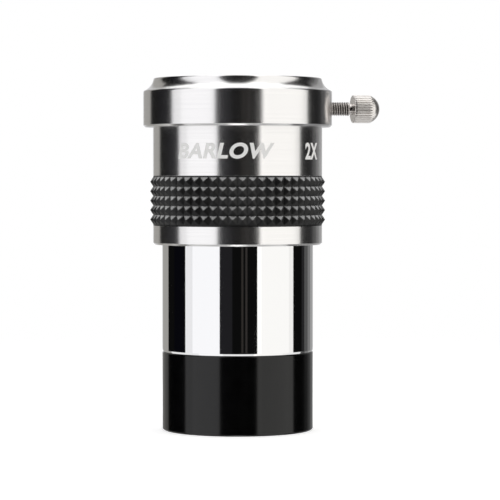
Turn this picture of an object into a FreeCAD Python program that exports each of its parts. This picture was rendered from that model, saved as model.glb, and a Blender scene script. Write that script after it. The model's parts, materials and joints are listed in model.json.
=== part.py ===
"""Barlow lens for 1.25 inch telescope eyepieces, in millimetres.

The Z axis is the optical axis. Z = 0 is the lower end face of the lens cell, which points at the
telescope, and +Z points at the eyepiece. Threads are plain cylinders or V rings of the thread's size.
"""
import FreeCAD, Part

import math
import os

# Driving dimensions
BARREL_DIAMETER = 31.7          # 1.25 inch nose barrel
SOCKET_DIAMETER = 31.85         # bore that takes a 1.25 inch eyepiece
BODY_DIAMETER = 35.5
COLLAR_DIAMETER = 39.6
RIM_DIAMETER = 35.3             # raised rim on top of the collar

CELL_TOP = 16.5                 # heights above the lower end face
BODY_BOTTOM = 38.95
GRIP_BOTTOM = 42.95
GRIP_TOP = 53.35
COLLAR_BOTTOM = 63.55
COLLAR_TOP = 71.4
RIM_TOP = 73.75

CORNER_ROUND = 0.45             # rounded outer corner of the collar's top
COVE_SAG = 0.33                 # how far the cove dips below the line between its ends
RIM_BREAK = 0.15
EDGE_BREAK = 0.4                # chamfer on the outer edges that show
FINE_BREAK = 0.3
RUNNING_GAP = 0.05              # radial gap of threads and sliding fits
CUT_MARGIN = 1.0                # how far a cutting solid reaches past what it cuts

FILTER_THREAD_DIAMETER = 28.5   # filter and cell thread, pitch 0.6
FILTER_THREAD_PITCH = 0.6
FILTER_THREAD_DEPTH = 0.325

SCREW_AZIMUTH = 10.0            # degrees from +X towards +Y
SCREW_DIAMETER = 2.96           # M3
SCREW_PITCH = 0.5
SCREW_THREAD_DEPTH = 0.3

Z_AXIS = FreeCAD.Vector(0, 0, 1)
ORIGIN = FreeCAD.Vector(0, 0, 0)

barrel_r = BARREL_DIAMETER / 2
socket_r = SOCKET_DIAMETER / 2
body_r = BODY_DIAMETER / 2
collar_r = COLLAR_DIAMETER / 2
rim_r = RIM_DIAMETER / 2

# Screwed joints between the collar, the body and the barrel
COLLAR_SPIGOT_LENGTH = 5.0
BARREL_SPIGOT_LENGTH = 5.9
SOCKET_FLOOR_THICKNESS = 1.5
collar_spigot_r = 16.95
collar_spigot_bottom = COLLAR_BOTTOM - COLLAR_SPIGOT_LENGTH
barrel_spigot_r = 14.95
barrel_spigot_top = BODY_BOTTOM + BARREL_SPIGOT_LENGTH
socket_floor = barrel_spigot_top + SOCKET_FLOOR_THICKNESS
stop_r = 13.6                   # opening in the socket's floor

# Baffle sleeve inside the barrel
sleeve_r = 13.6
sleeve_bore_r = 12.9
BAFFLE_PITCH = 1.0
BAFFLE_DEPTH = 0.4
BAFFLE_PLAIN_END = 0.4          # length without ridges at each end

# Lens cell
cell_thread_r = FILTER_THREAD_DIAMETER / 2
CELL_THREAD_LENGTH = 4.2
THREAD_RUNOUT = 0.3             # plain length next to a thread
CELL_GAP = 0.05                 # the cell's shoulder to the barrel's end
filter_hole_r = cell_thread_r - FILTER_THREAD_DEPTH
FILTER_THREAD_LENGTH = 3.6
sleeve_bottom = CELL_TOP + CELL_THREAD_LENGTH + THREAD_RUNOUT

# Negative cemented doublet, focal length about -63: radii of its three surfaces
LENS_DIAMETER = 26.0
FRONT_RADIUS = 60.0             # concave towards the telescope
CEMENT_RADIUS = 26.0
REAR_RADIUS = 55.0              # concave towards the eyepiece
FLINT_THICKNESS = 4.0
CROWN_THICKNESS = 1.8
lens_r = LENS_DIAMETER / 2
LENS_EDGE_BOTTOM = 7.0
CLEAR_RADIUS = 11.8

# Threaded ring that holds the doublet in its pocket
RETAINER_THREAD_RADIUS = 13.5
RETAINER_HEIGHT = 2.6
RETAINER_CONE = 0.8             # bevel of its opening
SLOT_WIDTH = 1.6
SLOT_DEPTH = 1.0

# Brass compression ring in its groove, level with the thumbscrew
screw_z = (COLLAR_BOTTOM + COLLAR_TOP) / 2
RING_HEIGHT = 5.0
RING_THICKNESS = 0.9
RING_PLAY = 0.075               # how far the relaxed ring stands back from the socket bore
GROOVE_PLAY = 0.3
ring_inner_r = socket_r + RING_PLAY
ring_outer_r = ring_inner_r + RING_THICKNESS
groove_r = ring_outer_r + GROOVE_PLAY
RING_SPLIT = 2.4                # width of the gap in the ring

# Thumbscrew, as distances from the optical axis along the screw
SCREW_TIP = 17.42
THREAD_END = 23.85
KNOB_INNER = 24.65
KNOB_OUTER = 30.48
NECK_RADIUS = 1.15
SPIGOT_RADIUS = 1.2
SPIGOT_LENGTH = 3.6
KNOB_DIAMETER = 5.9
KNOB_FLUTES = 32
FLUTE_DEPTH = 0.24
FLUTE_SHARE = 0.42              # share of each pitch that the groove takes
DOME_LENGTH = 2.1
SPOT_FACE_PLAY = 0.1
SPOT_FACE_DEPTH = 0.45
spot_face_r = KNOB_DIAMETER / 2 + SPOT_FACE_PLAY

# Rubber grip with rows of pyramids
GRIP_ROWS = 5
GRIP_COLUMNS = 56
GRIP_BORDER = 0.25
GRIP_SEAT_DEPTH = 0.8
PYRAMID_HEIGHT = 0.65
grip_seat_r = body_r - GRIP_SEAT_DEPTH
grip_valley_r = body_r
grip_peak_r = body_r + PYRAMID_HEIGHT


def edge_loop(points):
    """Closed wire in the XZ plane of (r, z) points; ("arc", middle, end) is an arc from the last point."""
    edges = []
    start = at = points[0]
    for item in list(points[1:]) + [start]:
        if item[0] == "arc":
            middle, end = item[1], item[2]
            arc = Part.Arc(*(FreeCAD.Vector(r, 0, z) for r, z in (at, middle, end)))
            edges.append(arc.toShape())
        else:
            end = item
            edges.append(Part.makeLine(*(FreeCAD.Vector(r, 0, z) for r, z in (at, end))))
        at = end
    return Part.Wire(edges)


def turned(points):
    """Solid of revolution about Z from an outline of (r, z) points."""
    return Part.Face(edge_loop(points)).revolve(ORIGIN, Z_AXIS, 360)


def v_rings(root_r, crest_r, low, high, pitch, flat=0.1):
    """Outline points, going up, of V rings between two heights. They start and end at the root."""
    count = int((high - low) / pitch + 1e-6)
    slope = (pitch - 2 * flat) / 2
    points = []
    for n in range(count):
        z = low + n * pitch
        points += [
            (root_r, z + flat / 2),
            (crest_r, z + flat / 2 + slope),
            (crest_r, z + 1.5 * flat + slope),
            (root_r, z + pitch - flat / 2),
        ]
    return points


def along_screw(shape):
    """Carry a shape built about Z to the screw. Its height becomes the distance from the optical axis."""
    shape.rotate(ORIGIN, FreeCAD.Vector(0, 1, 0), 90)
    shape.rotate(ORIGIN, Z_AXIS, SCREW_AZIMUTH)
    shape.translate(FreeCAD.Vector(0, 0, screw_z))
    return shape


def sagging_middle(start, end, sag):
    """Middle point of an arc between two (r, z) points that dips inwards and down by the given sag."""
    dr, dz = end[0] - start[0], end[1] - start[1]
    length = math.hypot(dr, dz)
    middle_r, middle_z = start[0] + dr / 2, start[1] + dz / 2
    return middle_r - sag * abs(dz) / length, middle_z - sag * abs(dr) / length


def eyepiece_collar():
    """Top collar: coved rim, socket bore, ring groove, and a threaded spigot that enters the body."""
    inset = CORNER_ROUND * (1 - math.sqrt(0.5))
    round_start = (collar_r, COLLAR_TOP - CORNER_ROUND)
    round_middle = (collar_r - inset, COLLAR_TOP - inset)
    cove_start = (collar_r - CORNER_ROUND, COLLAR_TOP)
    cove_end = (rim_r, RIM_TOP - RIM_BREAK)
    groove_low = screw_z - RING_HEIGHT / 2 - RUNNING_GAP
    groove_high = screw_z + RING_HEIGHT / 2 + RUNNING_GAP
    lead_in = 0.6
    ring = turned([
        (socket_r, collar_spigot_bottom),
        (collar_spigot_r - FINE_BREAK, collar_spigot_bottom),
        (collar_spigot_r, collar_spigot_bottom + FINE_BREAK),
        (collar_spigot_r, COLLAR_BOTTOM),
        (collar_r - EDGE_BREAK, COLLAR_BOTTOM),
        (collar_r, COLLAR_BOTTOM + EDGE_BREAK),
        round_start,
        ("arc", round_middle, cove_start),
        ("arc", sagging_middle(cove_start, cove_end, COVE_SAG), cove_end),
        (rim_r - RIM_BREAK, RIM_TOP),
        (socket_r + lead_in, RIM_TOP),
        (socket_r, RIM_TOP - lead_in),
        (socket_r, groove_high),
        (groove_r, groove_high),
        (groove_r, groove_low),
        (socket_r, groove_low),
    ])
    hole_start = groove_r - CUT_MARGIN / 2
    hole = Part.makeCylinder(
        SCREW_DIAMETER / 2 + RUNNING_GAP, collar_r + CUT_MARGIN - hole_start, FreeCAD.Vector(0, 0, hole_start))
    face_at = FreeCAD.Vector(0, 0, collar_r - SPOT_FACE_DEPTH)
    spot_face = Part.makeCylinder(spot_face_r, SPOT_FACE_DEPTH + CUT_MARGIN, face_at)
    return ring.cut(along_screw(hole)).cut(along_screw(spot_face))


def compression_ring():
    """Split brass ring that the thumbscrew presses against the eyepiece."""
    low = screw_z - RING_HEIGHT / 2
    high = screw_z + RING_HEIGHT / 2
    bevel = 0.25
    ring = turned([
        (ring_inner_r + bevel, low),
        (ring_outer_r, low),
        (ring_outer_r, high),
        (ring_inner_r + bevel, high),
        (ring_inner_r, high - bevel),
        (ring_inner_r, low + bevel),
    ])
    split = Part.makeBox(RING_THICKNESS + 2 * CUT_MARGIN, RING_SPLIT, RING_HEIGHT + 2 * CUT_MARGIN)
    split.translate(FreeCAD.Vector(ring_inner_r - CUT_MARGIN, -RING_SPLIT / 2, low - CUT_MARGIN))
    split.rotate(ORIGIN, Z_AXIS, SCREW_AZIMUTH + 180)
    return ring.cut(split)


def thumbscrew_stud():
    """M3 stud: threaded length, turned neck and the spigot inside the knob."""
    crest = SCREW_DIAMETER / 2
    root = crest - SCREW_THREAD_DEPTH
    thread_start = SCREW_TIP + FINE_BREAK
    neck_cone = 0.1
    outline = [(0, SCREW_TIP), (root - FINE_BREAK, SCREW_TIP), (root, thread_start)]
    outline += v_rings(root, crest, thread_start, THREAD_END, SCREW_PITCH, flat=0.06)
    outline += [
        (NECK_RADIUS, THREAD_END + neck_cone),
        (NECK_RADIUS, KNOB_INNER),
        (SPIGOT_RADIUS, KNOB_INNER),
        (SPIGOT_RADIUS, KNOB_INNER + SPIGOT_LENGTH),
        (0, KNOB_INNER + SPIGOT_LENGTH),
    ]
    return along_screw(turned(outline))


def fluted_bar(radius, depth, count, low, high):
    """Bar about Z with V grooves along it, between two heights."""
    pitch = 2 * math.pi / count
    half_groove = pitch * FLUTE_SHARE / 2
    spot = lambda r, a: FreeCAD.Vector(r * math.cos(a), r * math.sin(a), low)
    edges = []
    for n in range(count):
        a = n * pitch
        valley, next_valley = spot(radius - depth, a), spot(radius - depth, a + pitch)
        rise, fall = spot(radius, a + half_groove), spot(radius, a + pitch - half_groove)
        edges.append(Part.makeLine(valley, rise))
        edges.append(Part.Arc(rise, spot(radius, a + pitch / 2), fall).toShape())
        edges.append(Part.makeLine(fall, next_valley))
    return Part.Face(Part.Wire(edges)).extrude(FreeCAD.Vector(0, 0, high - low))


def thumbscrew_knob():
    """Fluted knob with a domed end and a blind bore for the stud's spigot."""
    radius = KNOB_DIAMETER / 2
    shoulder = KNOB_OUTER - DOME_LENGTH
    bore_r = SPIGOT_RADIUS + RUNNING_GAP / 2
    bore_end = KNOB_INNER + SPIGOT_LENGTH + 2 * RUNNING_GAP
    inner_break = 0.2
    dome_base_r = radius - inner_break / 2
    dome_height = DOME_LENGTH - inner_break / 2
    dome_radius = (dome_base_r ** 2 + dome_height ** 2) / (2 * dome_height)
    half_angle = math.asin(dome_base_r / dome_radius) / 2
    dome_rise = dome_radius * math.cos(half_angle)
    dome_middle = (dome_radius * math.sin(half_angle), KNOB_OUTER - dome_radius + dome_rise)
    envelope = turned([
        (bore_r, KNOB_INNER),
        (radius - inner_break, KNOB_INNER),
        (radius, KNOB_INNER + inner_break),
        (radius, shoulder),
        (dome_base_r, KNOB_OUTER - dome_height),
        ("arc", dome_middle, (0, KNOB_OUTER)),
        (0, bore_end),
        (bore_r, bore_end),
    ])
    bar = fluted_bar(radius, FLUTE_DEPTH, KNOB_FLUTES, KNOB_INNER - CUT_MARGIN, KNOB_OUTER + CUT_MARGIN)
    return along_screw(envelope.common(bar))


def main_body():
    """Sleeve that carries the collar above, the grip outside and the barrel below."""
    thread_bore_r = collar_spigot_r + RUNNING_GAP
    barrel_bore_r = barrel_spigot_r + RUNNING_GAP
    return turned([
        (barrel_bore_r, BODY_BOTTOM),
        (body_r - EDGE_BREAK, BODY_BOTTOM),
        (body_r, BODY_BOTTOM + EDGE_BREAK),
        (body_r, GRIP_BOTTOM),
        (grip_seat_r, GRIP_BOTTOM),
        (grip_seat_r, GRIP_TOP),
        (body_r, GRIP_TOP),
        (body_r, COLLAR_BOTTOM),
        (thread_bore_r, COLLAR_BOTTOM),
        (thread_bore_r, collar_spigot_bottom),
        (socket_r, collar_spigot_bottom),
        (socket_r, socket_floor),
        (stop_r, socket_floor),
        (stop_r, barrel_spigot_top),
        (barrel_bore_r, barrel_spigot_top),
    ])


def ring_face(outer_points, inner_r, z):
    """Flat face between a polygon and a round hole."""
    outside = Part.Face(Part.makePolygon(outer_points + outer_points[:1]))
    hole = Part.Face(Part.Wire(Part.makeCircle(inner_r, FreeCAD.Vector(0, 0, z))))
    return outside.cut(hole).Faces[0]


def rubber_grip():
    """Rubber band in the body's groove, covered in rows of four-sided pyramids."""
    inner_r = grip_seat_r
    low, high = GRIP_BOTTOM, GRIP_TOP
    step = 2 * math.pi / GRIP_COLUMNS
    row_height = (high - low - 2 * GRIP_BORDER) / GRIP_ROWS
    lines = [low, *(low + GRIP_BORDER + n * row_height for n in range(GRIP_ROWS + 1)), high]
    corner = lambda column, z: FreeCAD.Vector(
        grip_valley_r * math.cos(column * step), grip_valley_r * math.sin(column * step), z)
    faces = []
    for level in range(len(lines) - 1):
        z0, z1 = lines[level], lines[level + 1]
        border = level in (0, len(lines) - 2)
        for column in range(GRIP_COLUMNS):
            around = [corner(column, z0), corner(column + 1, z0),
                      corner(column + 1, z1), corner(column, z1)]
            if border:
                faces.append(Part.Face(Part.makePolygon(around + around[:1])))
                continue
            middle = (column + 0.5) * step
            peak = FreeCAD.Vector(
                grip_peak_r * math.cos(middle), grip_peak_r * math.sin(middle), (z0 + z1) / 2)
            for a, b in zip(around, around[1:] + around[:1]):
                faces.append(Part.Face(Part.makePolygon([a, b, peak, a])))
    for z in (low, high):
        faces.append(ring_face([corner(column, z) for column in range(GRIP_COLUMNS)], inner_r, z))
    tube = Part.makeCylinder(inner_r, high - low, FreeCAD.Vector(0, 0, low))
    faces.append(next(f for f in tube.Faces if isinstance(f.Surface, Part.Cylinder)))
    shell = Part.makeShell(faces)
    shell.sewShape(1e-5)
    grip = Part.Solid(shell)
    if grip.Volume < 0:
        grip.reverse()
    return grip


def nose_barrel():
    """Chromed 1.25 inch barrel: spigot into the body above, thread for the lens cell below."""
    cell_bore_r = cell_thread_r + RUNNING_GAP
    return turned([
        (cell_bore_r + FINE_BREAK, CELL_TOP),
        (barrel_r - FINE_BREAK, CELL_TOP),
        (barrel_r, CELL_TOP + FINE_BREAK),
        (barrel_r, BODY_BOTTOM),
        (barrel_spigot_r, BODY_BOTTOM),
        (barrel_spigot_r, barrel_spigot_top - FINE_BREAK),
        (barrel_spigot_r - FINE_BREAK, barrel_spigot_top),
        (sleeve_r, barrel_spigot_top),
        (sleeve_r, sleeve_bottom),
        (cell_bore_r, sleeve_bottom),
        (cell_bore_r, CELL_TOP + FINE_BREAK),
    ])


def baffle_sleeve():
    """Blackened sleeve inside the barrel whose ridges stop glare."""
    low, high = sleeve_bottom, barrel_spigot_top
    ridged_low = low + BAFFLE_PLAIN_END
    ridged_high = high - BAFFLE_PLAIN_END
    ridge_root_r = sleeve_bore_r + BAFFLE_DEPTH
    ridges = v_rings(
        ridge_root_r, sleeve_bore_r, ridged_low + RUNNING_GAP, ridged_high - RUNNING_GAP, BAFFLE_PITCH)
    outline = [(sleeve_r, low), (sleeve_r, high), (sleeve_bore_r, high), (sleeve_bore_r, ridged_high)]
    outline += ridges[::-1]
    outline += [(sleeve_bore_r, ridged_low), (sleeve_bore_r, low)]
    return turned(outline)


def surface_drop(radius, r):
    """How far a spherical surface of this radius falls away from its vertex at distance r."""
    return radius - math.sqrt(radius * radius - r * r)


front_vertex = LENS_EDGE_BOTTOM + surface_drop(FRONT_RADIUS, lens_r)
cement_vertex = front_vertex + FLINT_THICKNESS
rear_vertex = cement_vertex + CROWN_THICKNESS
lens_edge_top = rear_vertex + surface_drop(REAR_RADIUS, lens_r)


def dome_arc(vertex, radius, sign):
    """Half outline of a spherical surface from the axis to the lens's edge; sign -1 domes upwards."""
    half = lens_r / 2
    return ("arc", (half, vertex + sign * surface_drop(radius, half)),
            (lens_r, vertex + sign * surface_drop(radius, lens_r)))


def inward_arc(vertex, radius, sign):
    """The same surface, drawn from the lens's edge to the axis."""
    half = lens_r / 2
    return ("arc", (half, vertex + sign * surface_drop(radius, half)), (0, vertex))


def flint_element():
    """Positive meniscus on the telescope's side."""
    return turned([
        (0, front_vertex),
        dome_arc(front_vertex, FRONT_RADIUS, -1),
        (lens_r, cement_vertex - surface_drop(CEMENT_RADIUS, lens_r)),
        inward_arc(cement_vertex, CEMENT_RADIUS, -1),
    ])


def crown_element():
    """Biconcave element cemented onto the flint."""
    return turned([
        (0, cement_vertex),
        dome_arc(cement_vertex, CEMENT_RADIUS, -1),
        (lens_r, lens_edge_top),
        inward_arc(rear_vertex, REAR_RADIUS, 1),
    ])


def lens_cell():
    """Black cell: filter thread at the mouth, lens pocket and lip, and the thread that enters the barrel."""
    pocket_r = lens_r + RUNNING_GAP
    top = CELL_TOP - CELL_GAP
    thread_top = top + CELL_THREAD_LENGTH
    root = cell_thread_r - FILTER_THREAD_DEPTH
    mouth_break = 0.35
    end_break = 0.2
    throat_flare, throat_length = 1.0, 1.2
    outline = [
        (filter_hole_r + mouth_break, 0),
        (barrel_r - FINE_BREAK, 0),
        (barrel_r, FINE_BREAK),
        (barrel_r, top - FINE_BREAK / 2),
        (barrel_r - FINE_BREAK / 2, top),
        (root, top),
    ]
    outline += v_rings(root, cell_thread_r, top + THREAD_RUNOUT, thread_top, FILTER_THREAD_PITCH, flat=0.08)
    outline += [
        (root, thread_top - end_break),
        (root - end_break, thread_top),
        (CLEAR_RADIUS + throat_flare, thread_top),
        (CLEAR_RADIUS, lens_edge_top + throat_length),
        (CLEAR_RADIUS, lens_edge_top),
        (pocket_r, lens_edge_top),
        (pocket_r, LENS_EDGE_BOTTOM),
        (RETAINER_THREAD_RADIUS, LENS_EDGE_BOTTOM),
        (RETAINER_THREAD_RADIUS, FILTER_THREAD_LENGTH),
        (filter_hole_r, FILTER_THREAD_LENGTH),
        (filter_hole_r, mouth_break),
    ]
    return turned(outline)


def lens_retaining_ring():
    """Threaded ring that holds the doublet in its pocket, with two slots for a pin spanner."""
    outer_r = RETAINER_THREAD_RADIUS - RUNNING_GAP
    seat_gap = 0.02
    thread_break = 0.15
    high = LENS_EDGE_BOTTOM - seat_gap
    low = high - RETAINER_HEIGHT
    ring = turned([
        (CLEAR_RADIUS + RETAINER_CONE, low),
        (outer_r - thread_break, low),
        (outer_r, low + thread_break),
        (outer_r, high),
        (CLEAR_RADIUS, high),
        (CLEAR_RADIUS, low + RETAINER_CONE),
    ])
    reach = outer_r + CUT_MARGIN
    slot = Part.makeBox(2 * reach, SLOT_WIDTH, SLOT_DEPTH + CUT_MARGIN)
    slot.translate(FreeCAD.Vector(-reach, -SLOT_WIDTH / 2, low - CUT_MARGIN))
    return ring.cut(slot)


SUBPARTS = [
    eyepiece_collar, compression_ring, thumbscrew_stud, thumbscrew_knob, main_body, rubber_grip,
    nose_barrel, baffle_sleeve, lens_cell, flint_element, crown_element, lens_retaining_ring,
]

os.makedirs("parts", exist_ok=True)
for make in SUBPARTS:
    shape = make()
    shape.exportStep(os.path.join("parts", make.__name__ + ".step"))
    print(f"{make.__name__}: valid {shape.isValid()}, {len(shape.Solids)} solid, {shape.Volume:.1f} mm3")
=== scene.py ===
"""Looks of a 1.25 inch 2x barlow lens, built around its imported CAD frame. All lengths are in metres."""

import json
import math

import bmesh
import bpy
from mathutils import Matrix, Vector


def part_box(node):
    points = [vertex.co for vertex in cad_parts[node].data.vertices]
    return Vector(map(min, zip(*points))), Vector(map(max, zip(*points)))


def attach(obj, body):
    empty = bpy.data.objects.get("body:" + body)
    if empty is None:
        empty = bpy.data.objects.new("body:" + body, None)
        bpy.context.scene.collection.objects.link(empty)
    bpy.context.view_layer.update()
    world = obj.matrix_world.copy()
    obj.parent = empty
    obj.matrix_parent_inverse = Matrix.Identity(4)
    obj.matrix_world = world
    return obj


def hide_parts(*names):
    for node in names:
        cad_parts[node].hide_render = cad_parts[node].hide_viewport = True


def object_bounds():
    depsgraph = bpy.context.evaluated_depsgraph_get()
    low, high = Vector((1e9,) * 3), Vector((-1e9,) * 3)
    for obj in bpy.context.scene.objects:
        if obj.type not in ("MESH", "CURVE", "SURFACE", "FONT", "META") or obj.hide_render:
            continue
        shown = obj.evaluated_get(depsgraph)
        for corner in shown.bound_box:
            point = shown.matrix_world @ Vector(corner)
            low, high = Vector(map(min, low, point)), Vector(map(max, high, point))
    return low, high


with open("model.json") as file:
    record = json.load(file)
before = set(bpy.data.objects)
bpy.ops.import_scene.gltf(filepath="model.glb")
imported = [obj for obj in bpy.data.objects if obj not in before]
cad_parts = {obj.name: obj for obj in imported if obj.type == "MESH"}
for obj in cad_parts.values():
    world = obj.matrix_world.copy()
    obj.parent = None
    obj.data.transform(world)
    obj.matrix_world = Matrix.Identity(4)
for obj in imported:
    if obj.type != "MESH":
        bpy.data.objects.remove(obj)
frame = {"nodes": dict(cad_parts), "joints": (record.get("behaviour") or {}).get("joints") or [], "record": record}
cad_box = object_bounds()

MM = 0.001
TURN = 2 * math.pi


# ---------------------------------------------------------------- places and sizes, from the frame

def mount(name):
    return next(m for m in frame["record"]["mounts"] if m["name"] == name)


def joint(name):
    return next(j for j in frame["joints"] if j["name"] == name)


def pitch(hinge):
    """Travel per turn of a thread, from the coupling of its hinge to its slide."""
    couplings = frame["record"]["behaviour"]["couplings"]
    return TURN / next(c["ratio"] for c in couplings if c["joint"] == hinge)


def radius_of(node):
    low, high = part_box(node)
    return (high.y - low.y) / 2


def heights_of(node):
    low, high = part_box(node)
    return low.z, high.z


screw_axis = Vector(joint("screw_turn")["axis"]).normalized()
screw_origin = Vector(joint("screw_turn")["pos_m"])


def reach_of(node):
    """Nearest and farthest distance of a node along the screw, from the optical axis."""
    reaches = [(v.co - screw_origin).dot(screw_axis) for v in frame["nodes"][node].data.vertices]
    return min(reaches), max(reaches)


socket_r = mount("eyepiece_socket")["dims"]["r_mm"] * MM
filter_r = mount("filter_thread")["dims"]["r_mm"] * MM
collar_r = radius_of("eyepiece_collar")
spigot_low, rim_top = heights_of("eyepiece_collar")
body_r = radius_of("main_body")
body_low, body_top = heights_of("main_body")
grip_r = radius_of("rubber_grip")
grip_low, grip_top = heights_of("rubber_grip")
barrel_r = radius_of("nose_barrel")
barrel_low, barrel_top = heights_of("nose_barrel")
cell_low, cell_top = heights_of("lens_cell")
sleeve_r = radius_of("baffle_sleeve")
sleeve_low, sleeve_top = heights_of("baffle_sleeve")
ring_low, ring_top = heights_of("compression_ring")
ring_r = radius_of("compression_ring")
knob_near, knob_far = reach_of("thumbscrew_knob")
stud_near, stud_far = reach_of("thumbscrew_stud")
lens_r = radius_of("flint_element")
flint_low = heights_of("flint_element")[0]
crown_top = heights_of("crown_element")[1]
retainer_low, retainer_top = heights_of("lens_retaining_ring")

SEGMENTS = 288
SHARP_ANGLE = 35                    # degrees from which an edge shows as an edge
ON_AXIS = 1e-9                      # radius below which a point lies on the axis

# radii to which edges are broken
CRISP = 0.03 * MM
KEEN = 0.04 * MM
FINE = 0.05 * MM
SOFT = 0.08 * MM
ROUND = 0.1 * MM


# ---------------------------------------------------------------- mesh tools

def rounded(corners, steps=5, run=None):
    """Outline through (r, z, radius) corners, each turned into an arc of its radius.

    A point just outside each arc keeps the shading of the straight runs flat. A run longer than the
    optional length gets further points.
    """
    points = []
    count = len(corners)
    for n, (r, z, radius) in enumerate(corners):
        here = Vector((r, z))
        if not radius:
            points.append(here)
            continue
        back = (Vector(corners[n - 1][:2]) - here).normalized()
        ahead = (Vector(corners[(n + 1) % count][:2]) - here).normalized()
        half = back.angle(ahead) / 2
        reach = radius / math.tan(half)
        centre = here + (back + ahead).normalized() * radius / math.sin(half)
        arm = here + back * reach - centre
        sweep = arm.angle_signed(here + ahead * reach - centre)
        points.append(here + back * reach * 1.5)
        for k in range(steps + 1):
            turn = -sweep * k / steps
            c, s = math.cos(turn), math.sin(turn)
            points.append(centre + Vector((arm.x * c - arm.y * s, arm.x * s + arm.y * c)))
        points.append(here + ahead * reach * 1.5)
    if run is None:
        return [(p.x, p.y) for p in points]
    dense = []
    for p, q in zip(points, points[1:] + points[:1]):
        parts = max(1, round((q - p).length / run))
        dense += [p.lerp(q, k / parts) for k in range(parts)]
    return [(p.x, p.y) for p in dense]


def mesh_object(name, mesh, material, sharp=SHARP_ANGLE):
    """Object from a bmesh, smooth apart from the edges that are sharper than the given angle."""
    bmesh.ops.recalc_face_normals(mesh, faces=mesh.faces)
    data = bpy.data.meshes.new(name)
    mesh.to_mesh(data)
    mesh.free()
    data.polygons.foreach_set("use_smooth", [True] * len(data.polygons))
    data.set_sharp_from_angle(angle=math.radians(sharp))
    data.materials.append(material)
    piece = bpy.data.objects.new(name, data)
    bpy.context.scene.collection.objects.link(piece)
    return piece


def join_rings(mesh, lower, upper, segments, full):
    """Faces between two rings of vertices. A ring may also be a single vertex on the axis."""
    if len(lower) == 1 and len(upper) == 1:
        return
    for n in range(segments):
        m = (n + 1) % segments if full else n + 1
        if len(lower) == 1:
            mesh.faces.new((lower[0], upper[m], upper[n]))
        elif len(upper) == 1:
            mesh.faces.new((lower[n], lower[m], upper[0]))
        else:
            mesh.faces.new((lower[n], lower[m], upper[m], upper[n]))


def turned(name, outline, material, segments=SEGMENTS, relief=None, sweep=TURN, start=0.0,
           sharp=SHARP_ANGLE):
    """Solid turned about Z from a closed loop of (r, z) points, which may run along the axis.

    In a point (r, z, weight), weight * relief(angle, z) is added to the radius.
    """
    full = sweep >= TURN
    mesh = bmesh.new()
    rings = []
    for r, z, *weight in outline:
        if r < ON_AXIS:
            rings.append([mesh.verts.new((0, 0, z))])
            continue
        ring = []
        for n in range(segments if full else segments + 1):
            angle = start + sweep * n / segments
            radius = r + weight[0] * relief(angle, z) if weight and weight[0] else r
            ring.append(mesh.verts.new((radius * math.cos(angle), radius * math.sin(angle), z)))
        rings.append(ring)
    for lower, upper in zip(rings, rings[1:] + rings[:1]):
        join_rings(mesh, lower, upper, segments, full)
    if not full:
        mesh.faces.new([ring[0] for ring in rings])
        mesh.faces.new([ring[-1] for ring in rings])
    return mesh_object(name, mesh, material, sharp)


def along_screw(piece):
    """Carry a piece built about Z, its height being the distance from the optical axis, to the screw."""
    turn = Vector((0, 0, 1)).rotation_difference(screw_axis).to_matrix().to_4x4()
    piece.data.transform(Matrix.Translation(screw_origin) @ turn)
    return piece


def carve(piece, *cutters):
    """Cut the cutters out of the piece and remove them."""
    for cutter in cutters:
        change = piece.modifiers.new("cut", "BOOLEAN")
        change.object = cutter
        change.solver = "EXACT"
    shaped = piece.evaluated_get(bpy.context.evaluated_depsgraph_get())
    piece.data = bpy.data.meshes.new_from_object(shaped)
    piece.modifiers.clear()
    for cutter in cutters:
        bpy.data.objects.remove(cutter)
    piece.data.set_sharp_from_angle(angle=math.radians(SHARP_ANGLE))


def triangle_wave(phase, flat=0.12):
    """0 on a thread's crest, 1 in its root, with short flats on both."""
    t = abs(2 * (phase % 1) - 1)
    return min(1, max(0, (t - flat) / (1 - 2 * flat)))


def thread_rows(r, low, high, lead, weight=1.0, per_pitch=10):
    """Outline points of a threaded stretch, with the thread fading in and out over half a pitch."""
    rows = max(2, round(abs(high - low) / lead * per_pitch))
    points = []
    for n in range(rows + 1):
        z = low + (high - low) * n / rows
        fade = min(1, min(abs(z - low), abs(high - z)) / (lead / 2))
        points.append((r, z, weight * fade))
    return points


def helix(lead, depth):
    """Relief of a right-handed thread cut to the given depth below its crest."""
    return lambda angle, z: -depth * triangle_wave(z / lead - angle / TURN)


# ---------------------------------------------------------------- materials

BLACK = (0.001, 0.001, 0.001)
NOISE_SPAN = (0.25, 0.75)           # most of a noise texture's values lie between these


def new_material(name, colour, **values):
    """Principled material with constant values on its sockets. Returns it, its tree and its shader."""
    material = bpy.data.materials.new(name)
    material.use_nodes = True
    tree = material.node_tree
    shader = tree.nodes["Principled BSDF"]
    shader.inputs["Base Color"].default_value = (*colour, 1)
    for socket, value in values.items():
        shader.inputs[socket.replace("_", " ")].default_value = value
    return material, tree, shader


def node(tree, kind, **settings):
    """Shader node with settings on its input sockets or, failing that, on itself."""
    made = tree.nodes.new(kind)
    for key, value in settings.items():
        if key in made.inputs:
            made.inputs[key].default_value = value
        else:
            setattr(made, key, value)
    return made


def noise(tree, stretch, detail=3.0):
    """Noise over object coordinates, scaled per axis in cycles per metre."""
    place = node(tree, "ShaderNodeTexCoord")
    scale = node(tree, "ShaderNodeMapping")
    scale.inputs["Scale"].default_value = stretch
    pattern = node(tree, "ShaderNodeTexNoise", Detail=detail, Roughness=0.55, Scale=1.0)
    tree.links.new(place.outputs["Object"], scale.inputs["Vector"])
    tree.links.new(scale.outputs["Vector"], pattern.inputs["Vector"])
    return pattern.outputs["Fac"]


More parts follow.
